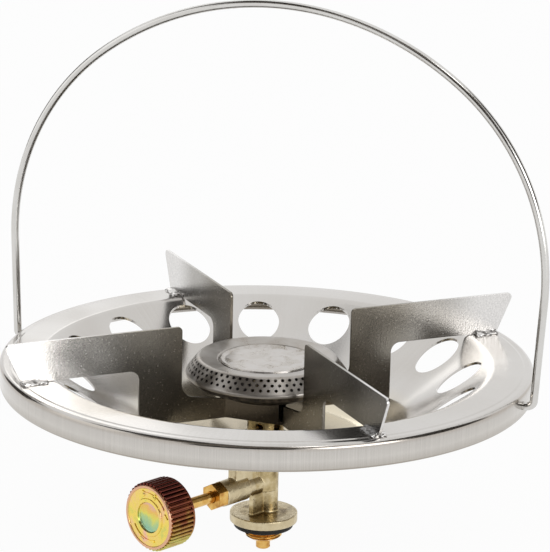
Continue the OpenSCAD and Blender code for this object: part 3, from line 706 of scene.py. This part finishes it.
# %% Crush the tabs round the blades' heels
lug_size, lug_cuts, lug_lift, lug_seat = (10, 6.5, 2.2), 9, 0.35, (rim_z - 0.3) * MM
lug_push, lug_wrinkles, side_h, lug_seed = 1.1, Vector((0.55, 0.8, 0.8)), 0.45, 7
first_lug = add_block(lug_size, (tab_at, 0, rim_z + lug_lift))
edit_all(first_lug)
bpy.ops.mesh.subdivide(number_cuts=lug_cuts)
bpy.ops.object.mode_set(mode="OBJECT")
noise.seed_set(lug_seed)  # without a seed, the noise would change from run to run
for vertex in first_lug.data.vertices:
    push = noise.noise_vector(vertex.co / MM * lug_wrinkles)
    from_side = 1 - (2 * abs(vertex.co.y) / (lug_size[1] * MM)) ** 2
    vertex.co += push * lug_push * MM
    vertex.co.z = lug_seat + (vertex.co.z - lug_seat) * (side_h + (1 - side_h) * from_side)
apply_modifier(first_lug, "SUBSURF", levels=1, render_levels=1)
for k in range(blade_count):
    lug = first_lug.copy()
    lug.data = first_lug.data.copy()
    lug.name = lug.data.name = "crushed_tab_" + str(k)
    bpy.context.collection.objects.link(lug)
    put_on(lug, Matrix.Rotation(first_blade + math.tau * k / blade_count, 4, "Z"))
    finish_piece(lug, "stove", blade_steel, "blade_steel", smooth=60, weighted=False)
bpy.data.objects.remove(first_lug)

# %% [markdown]
# ## The burner head
#
# A ring with three rows of flame ports is crimped over a cup, and a shallow disc sits in its top.
# All three are pressed sheet, so they come from the lathe as the dish did.

# %% Turn the flame ring
head_sheet, head_r, head_top_r, head_z, flame_wall_h = 0.7, 33.8, 28.9, 74.4, 6.5
half_sheet, crimp_z, crimp_drop = head_sheet / 2, head_z - flame_wall_h, 1.1
disc_r, disc_z, seat_drop = 19.5, head_z - 1.4, 1.2
seat_in, seat_out, step_out = disc_r - 2, disc_r + 0.4, disc_r + 1.2
ring_line = [(seat_in, disc_z - seat_drop), (seat_out, disc_z - seat_drop), (step_out, disc_z),
             (head_top_r - half_sheet, head_z - half_sheet),
             (head_r - half_sheet, crimp_z - half_sheet),
             (head_r - head_sheet, crimp_z - crimp_drop)]
flame_ring = press("flame_ring_shell", ring_line, [0.6, 0.6, 1.6, 1.2], longest=1.5, steps=288,
                   thick=head_sheet)
print("flame ring:", len(flame_ring.data.polygons), "faces")

# %% [markdown]
# The flame ports are drilled square to the sloping wall. One small drill for each row is copied
# round the ring by a spin that duplicates, every row half a step on from the last, and all 192
# drills are cut away together.

# %% Drill the flame ports
port_count, port_rows, port_r, port_step, port_lift, drill_len = 64, 3, 0.7, 1.75, 0.4, 3
wall_lean = math.atan2(head_r - head_top_r, flame_wall_h)
drills = []
for row in range(port_rows):
    z = crimp_z + flame_wall_h / 2 + port_lift + (row - 1) * port_step
    r = head_top_r + (head_r - head_top_r) * (head_z - z) / flame_wall_h
    drill = add_cylinder(12, port_r, drill_len, (r, 0, z), (0, math.pi / 2 - wall_lean, 0))
    put_on(drill, Matrix.Rotation(row / 2 * math.tau / port_count, 4, "Z"))
    repeat_round(drill, port_count)
    drills.append(drill)
cut_away(flame_ring, drills)
finish_piece(flame_ring, "stove", burner_steel, "burner_steel", "flame_ring")

# %% [markdown]
# The disc is a shallow saucer that lies in the ring's seat. The cup under the ring widens in two
# slopes from the hub to the crimp, round a short collar for the tube.

# %% Turn the disc and the cup
disc_sink, disc_lift = 0.5, 0.2
disc_line = [(0, disc_z - disc_sink), (disc_r - 2, disc_z - disc_sink),
             (disc_r - 0.4, disc_z + disc_lift)]
top_disc = press("sunken_top_disc", disc_line, [1.2], longest=2, steps=192, thick=head_sheet)
finish_piece(top_disc, "stove", disc_steel, "burner_steel", "top_disc")

cup_z, hub_corner, cup_rim_at, collar_r, collar_h = 58.8 + half_sheet, 17.96, 32.25, 7.0, 1.95
knee_at, knee_z = cup_rim_at - 1.2, cup_z + 0.6 * (crimp_z - cup_z + half_sheet)
cup_line = [(collar_r, cup_z - collar_h), (collar_r, cup_z), (hub_corner, cup_z),
            (knee_at, knee_z), (cup_rim_at, crimp_z - half_sheet)]
burner_cup = press("burner_cup_shell", cup_line, [0.8, 3, 1.5], longest=3, steps=192,
                   thick=head_sheet)
finish_piece(burner_cup, "stove", painted_shade_cup, "burner_steel", "burner_cup")

# %% [markdown]
# The mixing tube carries the burner and brings it gas and air. Only its lower end shows under the
# hub, with the washer it stands on, so bevelled copies of both solids are enough.

# %% Bevel the mixing tube and its washer
bevel_solid("mixing_tube", "mixing_tube_turned", 0.25, "stove", plated_brass, "bare_brass")
bevel_solid("lock_washer", "lock_washer_stamped", 0.15, "stove", blade_steel, "blade_steel")

# %% [markdown]
# ## The valve
#
# The valve's body is a casting, so its shapes run into each other with soft fillets. A bevel can't
# round where shapes meet, but a voxel remesh with a little smoothing can: it melts the copied
# solid together as a mould does. The part below the foot flange is cut off first, because the
# thread there is turned and stays sharp.

# %% Melt the casting together
flange_z, voxel, smoothing = 2.62, 0.3, 6
casting = copy_solid("valve_body", "valve_casting")
edit_all(casting)
bpy.ops.mesh.bisect(plane_co=(0, 0, flange_z * MM), plane_no=(0, 0, 1), use_fill=True,
                    clear_inner=True)
bpy.ops.object.mode_set(mode="OBJECT")
apply_modifier(casting, "REMESH", mode="VOXEL", voxel_size=voxel * MM)
apply_modifier(casting, "SMOOTH", factor=0.5, iterations=smoothing)
finish_piece(casting, "stove", plated_brass, "plated_brass", "valve_body", smooth=60,
             weighted=False)

# %% [markdown]
# The gas thread is a helix, which no lathe gives, and a Screw modifier would leave open ends. A
# plain turned blank with many rings is enough to start from: each of its points is then moved in
# or out by how far it lies along the helix, and the thread fades out over a short lead.

# %% Cut the gas thread
thread_r, thread_len, thread_pitch, thread_depth, flank = 8, 4, 1.5, 0.92, 2.3
nose_r, nose_z, bore_r, waist_r, waist_z, crest = 6.0, -5, 5, 7.2, 0.3, 0.08
blank_line = [(nose_r - 0.1, nose_z), (nose_r, nose_z), (thread_r - 0.1, -thread_len)]
blank_line += [(thread_r, -thread_len + 0.1 * k) for k in range(1, 41)]
blank_line += [(waist_r, waist_z), (waist_r, flange_z), (bore_r, flange_z), (bore_r, nose_z),
               (nose_r - 0.1, nose_z)]
gas_thread = lathe("gas_thread", blank_line, steps=120)
lead_z, lead_len, lead_depth = -4.3, 0.8, 0.5
for vertex in gas_thread.data.vertices:
    x, y, z = vertex.co / MM
    r = math.hypot(x, y)
    if r > nose_r + 0.5 and lead_z - 0.1 < z < 0.05:
        along = (z / thread_pitch - math.atan2(y, x) / math.tau) % 1
        ridge = thread_depth * max(0, 1 - flank * abs(along - 0.5) - crest)
        full = min(1, max(0, (z - lead_z) / lead_len))
        new_r = (r - thread_depth + ridge) * full + (r - lead_depth) * (1 - full)
        vertex.co.x *= new_r / r
        vertex.co.y *= new_r / r
finish_piece(gas_thread, "stove", bare_brass, "bare_brass", "valve_body", smooth=50)

# %% [markdown]
# The gasket is a moulded rubber ring that seals against the cylinder, so its outer edges are well
# rounded. The inlet pin opens the cylinder's valve, and a bevelled copy of its solid will do.

# %% Turn the gasket and bevel the inlet pin
gasket_in, gasket_out, gasket_h = 7.25, 12.5, 2.6
gasket_line = [(gasket_in, gasket_h / 2), (gasket_in, 0), (gasket_out, 0), (gasket_out, gasket_h),
               (gasket_in, gasket_h), (gasket_in, gasket_h / 2)]
gasket = lathe("cylinder_gasket_ring", rounded(gasket_line, [0.2, 0.7, 0.7, 0.2]), steps=128)
finish_piece(gasket, "stove", black_rubber, "black_rubber", "cylinder_gasket")
bevel_solid("inlet_pin", "inlet_pin_turned", 0.2, "stove", bare_brass, "bare_brass")

# %% [markdown]
# ## The gland nut, the spindle and the knob
#
# These lie on the valve's arm, which points level to the front left. The nut and the spindle are
# bevelled copies. The knob is easier to model upright on the Z axis and to lay on the arm later.

# %% Bevel the gland nut and the spindle
bevel_solid("gland_nut", "gland_nut_hexagon", 0.4, "stove", bare_brass, "bare_brass", segments=3)
bevel_solid("spindle", "valve_spindle_turned", 0.12, "valve_spindle", bare_brass, "bare_brass")

# %% [markdown]
# The knob's grip is a sleeve with round ribs for the fingers. The ribs could be drawn into a
# section and extruded, but then their ends would be flat. So one rib is a cylinder with rounded
# ends, copied round the sleeve and let into it.

# %% Turn the knob's grip
knob_at, grip_in, groove_r, flange_r, flange_h, ring_z = 52.8, 11.5, 13.0, 13.9, 1, 12.1
rib_count, rib_r, rib_at, rib_len = 44, 0.72, 13.55, ring_z - 0.4
grip_loop = [(grip_in, 5), (grip_in, 0), (flange_r, 0), (flange_r, flange_h),
             (groove_r, flange_h + 0.2), (groove_r, ring_z), (grip_in, ring_z), (grip_in, 5)]
grip_bends = [0.4, 0.4, 0.3, 0.1, 0.1, 0.1]
grip = lathe("chromate_knob", rounded(grip_loop, grip_bends, turn_step=15), steps=220)
rib = add_cylinder(14, rib_r, rib_len, (rib_at, 0, ring_z / 2 + 0.5))
soften_edges(rib, 0.4, segments=3, sharper_than=60)
repeat_round(rib, rib_count)
join_pieces(grip, [rib])
on_knob = on_arm @ Matrix.Translation((0, 0, knob_at * MM))
put_on(grip, on_knob)
finish_piece(grip, "valve_spindle", chromate_grip, "yellow_chromate", "knob", smooth=40)

# %% [markdown]
# The face is a cap with a raised rim, a shallow groove for the turn marks, and a recess in its
# middle. Behind it a hub grips the spindle. All of that is round, so one long outline makes it.

# %% Turn the knob's face and hub
knob_len, groove_in, ring_r, hub_r, web_z, stem_r, stem_z = 13.4, 7.9, 13.3, 5, 9.4, 2.43, 10.25
groove_z, recess_z, recess_mid = knob_len - 0.5, knob_len - 1.2, knob_len - 1.4
cap_in, cap_z = grip_in + 0.1, ring_z - 0.1
face_loop = [(0, stem_z), (stem_r, stem_z), (stem_r, 0), (hub_r, 0), (hub_r, web_z),
             (cap_in, web_z), (cap_in, cap_z), (ring_r, cap_z), (ring_r, knob_len),
             (rim_in, knob_len), (rim_in, groove_z), (groove_in, groove_z), (groove_in, knob_len),
             (recess_r, knob_len), (recess_r, recess_z), (0, recess_mid)]
face_bends = [0.1, 0.2, 0.3, 0.5, 0.1, 0.1, 0.2, 0.5, 0.4, 0.2, 0.2, 0.35, 0.35, 0.6]
face = lathe("chromate_knob_face", rounded(face_loop, face_bends, turn_step=15), steps=220)
print("knob face:", len(face.data.polygons), "faces")

# %% [markdown]
# Two raised arrows in the groove tell which way opens the valve, one with a plus and one with a
# minus sign. A flat picture of them would not catch the light, so they are solid: a small section
# is spun through part of a turn, and a three sided cylinder and blocks make its head and sign.

# %% Raise the arrows on the knob's face
mark_low, mark_high, mark_r, band_w, sweep = 12.85, 13.3, 10, 1, 80
mark_h, mark_mid = mark_high - mark_low, (mark_high + mark_low) / 2
head_size, bar_size, sign_at = 1.6, (2.6, 0.8, mark_h), 2.45
band_in, band_out = mark_r - band_w / 2, mark_r + band_w / 2
section = [(band_in, 0, mark_low), (band_in, 0, mark_high), (band_out, 0, mark_high),
           (band_out, 0, mark_low), (band_in, 0, mark_low)]
arrows = []
for turn, tip, head_turn, bar_turns in ((20, 84, 0, (0, math.pi / 2)), (200, -4, math.pi, (0,))):
    arrow = chain("arrow", section)
    edit_all(arrow)
    bpy.ops.mesh.spin(steps=20, angle=math.radians(sweep), **ROUND_Z)
    close_shell(fill=True)
    tip = math.radians(tip)
    head_at, sign_place = (round_place(mark_r, a, mark_mid) for a in (tip, sign_at))
    added = [add_cylinder(3, head_size, mark_h, head_at, (0, 0, tip + head_turn))]
    added += [add_block(bar_size, sign_place, sign_at + math.pi / 2 + bar) for bar in bar_turns]
    join_pieces(arrow, added)
    put_on(arrow, Matrix.Rotation(math.radians(turn), 4, "Z"))
    soften_edges(arrow, 0.12, sharper_than=50)
    arrows.append(arrow)
join_pieces(face, arrows)
put_on(face, on_knob)
finish_piece(face, "valve_spindle", chromate_face, "yellow_chromate", "knob", smooth=40)

# %% [markdown]
# ## The carry handle
#
# The handle is one wire: two straight legs that lean in, a flat crown, a wide bend on each side and
# a tight one at each foot. Points could be dragged until it looks right, but bends of a wire are
# arcs, so the line is worked out from arcs that meet without a kink.

# %% Draw the handle's line
def arc(middle, radius, start, end, steps):
    """Points of an arc from one angle to another, without its last point."""
    turns = [start + (end - start) * k / steps for k in range(steps)]
    return [(middle[0] + radius * math.cos(a), middle[1] + radius * math.sin(a)) for a in turns]


foot_at, foot_bend, wire_in, wire_run = dish_r + 4.4, 3.0, dish_r - 6, 3
handle_top, crown_r, crown_half = 152.0, 128.6, math.radians(36.5)
leg_lean, handle_lean = math.radians(2.5), math.radians(2)
crown_mid, crown_from = handle_top - crown_r, math.pi / 2 - crown_half
reach = foot_at * math.cos(leg_lean) + crown_mid * math.sin(leg_lean)
lean_share = math.sin(crown_half - leg_lean)
bend_r = (reach - crown_r * lean_share) / (1 - lean_share)
bend_off = crown_r - bend_r
bend_mid = (bend_off * math.sin(crown_half), crown_mid + bend_off * math.cos(crown_half))
foot_in = foot_at - foot_bend * math.tan((math.pi / 2 - leg_lean) / 2)
half_line = [(wire_in, 0), (wire_in + wire_run, 0)]
half_line += arc((foot_in, foot_bend), foot_bend, -math.pi / 2, -leg_lean, 8)
half_line += arc(bend_mid, bend_r, -leg_lean, crown_from, 32)
half_line += arc((0, crown_mid), crown_r, crown_from, math.pi / 2, 24)
wire_line = half_line + [(0, handle_top)] + [(-x, up) for x, up in reversed(half_line)]
print("handle line:", len(wire_line), "points, bends of", round(bend_r, 1), "mm")

# %% [markdown]
# A line becomes a wire when it is turned into a curve with a bevel, which sweeps a circle along it,
# and back into a mesh with closed ends. The handle leans a little to the back, as in the photo.

# %% Give the handle's wire its thickness
def standing(x, up):
    """A point of the handle's line, with the handle leaning to the back as it stands."""
    return (x, up * math.sin(handle_lean), pivot_z + up * math.cos(handle_lean))


wire_r = 1.67
handle = chain("carry_handle_wire", [standing(x, up) for x, up in wire_line])
pick(handle)
bpy.ops.object.convert(target="CURVE")
handle = bpy.context.object
handle.data.bevel_depth = wire_r * MM
handle.data.bevel_resolution = 6
handle.data.use_fill_caps = True
bpy.ops.object.convert(target="MESH")
handle = bpy.context.object
edit_all(handle)
close_shell()
finish_piece(handle, "handle", wire_steel, "wire_steel", "carry_handle", smooth=40)

# %% [markdown]
# ## The pieces inside
#
# The jet, its filter, the seal and its washer can't be seen unless the stove is taken apart. Their
# solids have the right shape, so they stay and only get their finishes.

# %% Finish the pieces inside
inside = {"injector_jet": bare_brass, "jet_gauze": bare_brass, "gland_washer": bare_brass,
          "spindle_o_ring": black_rubber}
for node, finish in inside.items():
    solids[node].data.materials.clear()
    solids[node].data.materials.append(finish)
    print("finished inside:", node)

# %% [markdown]
# ## The studio
#
# Polished metal is only as good as what it mirrors. The floor and the background are white where
# the camera or a mirror sees them, as in the photo. A lit white floor would turn grey in places, so
# it glows. To soft light both are dimmer, or the shadows would fill up. A Light Path node tells
# the two apart.

# %% Helpers for the white room
WHITE = (1, 1, 1, 1)


def seen_directly(owner):
    """1 for what the camera, a mirror or glass sees, and 0 for soft light."""
    rays = add_node(owner, "LightPath").outputs
    seen = reckon(owner, "MAXIMUM", rays["Is Camera Ray"], rays["Is Glossy Ray"])
    return reckon(owner, "MAXIMUM", seen, rays["Is Transmission Ray"])


def mix_shaders(owner, output, share, first, second):
    """Mix two shaders by a share from 0 to 1 and send them to an output node."""
    sockets = {0: share, 1: first.outputs[0], 2: second.outputs[0]}
    mixed = add_node(owner, "MixShader", sockets).outputs[0]
    owner.node_tree.links.new(mixed, owner.node_tree.nodes[output].inputs["Surface"])


print("helpers for the white room are ready")

# %% Floor and background
floor_z, floor_glow = -9.8, 0.95
clear_selection()
bpy.ops.mesh.primitive_plane_add(size=12, location=(0, 0, floor_z * MM))
floor = bpy.context.object
floor.name = "studio_floor"
floor_white = new_finish("floor_white", (0.9, 0.9, 0.9), 0, 0.8)
share = reckon(floor_white, "MULTIPLY", seen_directly(floor_white), floor_glow)
glow = add_node(floor_white, "Emission", {"Color": WHITE, "Strength": 1.0})
paint = floor_white.node_tree.nodes["Principled BSDF"]
mix_shaders(floor_white, "Material Output", share, paint, glow)
floor.data.materials.append(floor_white)

world = bpy.data.worlds.new("studio")
bpy.context.scene.world = world
world.use_nodes = True
dim = world.node_tree.nodes["Background"]
dim.inputs["Color"].default_value = WHITE
dim.inputs["Strength"].default_value = 0.6
bright = add_node(world, "Background", {"Color": WHITE, "Strength": 1.0})
mix_shaders(world, "World Output", seen_directly(world), dim, bright)
print("floor at", round(floor.location.z / MM, 1), "mm")

# %% [markdown]
# In a white room polished steel would be all white. So soft boxes add brighter places to what it
# mirrors, a strong one at the right, weaker ones at the left and behind, and a small one for
# sparks. Dark cards stand in front, high up and at both sides, as a photographer sets them, so that
# the steel has something dark to show. Each is placed by its direction from the stove.

# %% Helpers for lights and cards
stove_middle = Vector((0, 0, 0.07))


def out_at(azimuth, elevation, distance):
    """A place at a distance from the stove's middle, in a direction given in degrees."""
    a, e = math.radians(azimuth), math.radians(elevation)
    return stove_middle + distance * round_place(math.cos(e), a, math.sin(e))


def add_card(name, place, size, colour):
    """A card that faces the stove. The stove mirrors it, and the camera doesn't see it."""
    clear_selection()
    bpy.ops.mesh.primitive_plane_add(size=1, location=place)
    card = bpy.context.object
    card.name = name
    card.scale = (*size, 1)
    card.rotation_euler = (stove_middle - place).to_track_quat("Z", "Y").to_euler()
    card.data.materials.append(new_finish(name + "_paper", colour, 0, 0.9))
    card.visible_camera = card.visible_diffuse = card.visible_shadow = False


def add_soft_box(name, place, size, glow):
    """An area light that faces the stove and adds glow to what the metal mirrors."""
    clear_selection()
    bpy.ops.object.light_add(type="AREA", location=place)
    lamp = bpy.context.object
    lamp.name = name
    lamp.data.shape = "RECTANGLE"
    lamp.data.size, lamp.data.size_y = size
    lamp.data.energy = glow * math.pi * size[0] * size[1]
    lamp.rotation_euler = (stove_middle - place).to_track_quat("-Z", "Y").to_euler()


print("helpers for lights and cards are ready")

# %% Lights and dark cards
dark_brown, mid_brown = (0.045, 0.038, 0.032), (0.22, 0.195, 0.17)
soft_boxes = (("left_box", (-150, 20, 1.5), (0.9, 0.9), 0.25),
              ("right_box", (-31, 16, 1.4), (0.8, 0.6), 3.2),
              ("back_box", (124, 24, 1.6), (0.5, 0.3), 0.8),
              ("spark_box", (-44, 56, 1.4), (0.25, 0.25), 4.0))
cards = (("front_card", (-78, 17, 2.0), (1.6, 1.0), dark_brown),
         ("high_front_card", (-85, 50, 1.7), (2.3, 1.1), mid_brown),
         ("high_left_card", (-142, 62, 1.4), (1.0, 0.75), dark_brown),
         ("left_card", (163, 17, 1.5), (0.75, 0.75), dark_brown),
         ("right_card", (14, 34, 1.5), (1.2, 1.15), dark_brown))
for name, direction, size, glow in soft_boxes:
    add_soft_box(name, out_at(*direction), size, glow)
for name, direction, size, colour in cards:
    add_card(name, out_at(*direction), size, colour)
print("placed", len(soft_boxes), "soft boxes and", len(cards), "cards")

# %% [markdown]
# ## The camera
#
# The camera stands where the photographer stood. Its place, its lens and the small roll of the
# picture were worked out from the rim, the blades and the handle in the photo. A Track To
# constraint can't roll, so the camera's three directions are written down as a matrix.

# %% Place the camera
eye, target = Vector((0.3959, -1.0266, 0.4199)), Vector((0.00233, 0.00089, 0.10882))
roll, lens, sensor = math.radians(1.314), 182.07, 36
clear_selection()
bpy.ops.object.camera_add(location=eye)
camera = bpy.context.object
camera.name = "photo_camera"
ahead = (target - eye).normalized()
right = ahead.cross(Vector((0, 0, 1))).normalized()
up = right.cross(ahead)
tilted_right = right * math.cos(roll) + up * math.sin(roll)
tilted_up = up * math.cos(roll) - right * math.sin(roll)
camera.rotation_euler = Matrix((tilted_right, tilted_up, -ahead)).transposed().to_euler()
camera.data.sensor_width, camera.data.lens = sensor, lens
camera.data.clip_start, camera.data.clip_end = 0.01, 50
bpy.context.scene.camera = camera
bpy.context.scene.view_settings.view_transform = "Standard"
print("camera at", [round(x, 3) for x in eye])
